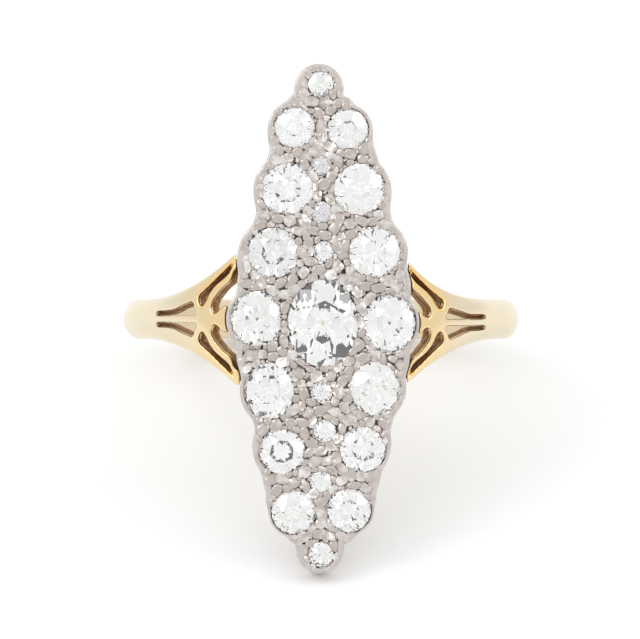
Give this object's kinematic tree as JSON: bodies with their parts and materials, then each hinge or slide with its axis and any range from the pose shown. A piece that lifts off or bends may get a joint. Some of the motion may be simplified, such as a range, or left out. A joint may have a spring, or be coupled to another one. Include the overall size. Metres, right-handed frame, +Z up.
{
  "type": "navette ring",
  "caption": "Cluster ring with a long scalloped navette head of old-cut stones on a flared, pierced gold shank.",
  "frame": {"origin": "centre of the finger hole, midway along the band's width", "axes": "the ring lies on its side on a level surface: +Z is up, +X is across the finger, and the long head leans back with its face turned towards -Y and upwards"},
  "size_m": [0.0196, 0.0236, 0.0217],
  "materials": {
    "gold": "polished pale yellow gold",
    "platinum": "satin worn platinum",
    "stone": "clear polished facets"
  },
  "bodies": {
    "root": {"shank": "gold", "setting": "platinum", "centre_stone": "stone", "tip_top": "stone", "tip_bottom": "stone", "small_1": "stone", "small_2": "stone", "small_3": "stone", "small_4": "stone", "small_5": "stone", "small_6": "stone", "row_2_right": "stone", "row_3_right": "stone", "row_4_right": "stone", "row_5_right": "stone", "row_6_right": "stone", "row_7_right": "stone", "row_8_right": "stone", "row_8_left": "stone", "row_7_left": "stone", "row_6_left": "stone", "row_5_left": "stone", "row_4_left": "stone", "row_3_left": "stone", "row_2_left": "stone"}
  },
  "joints": []
}
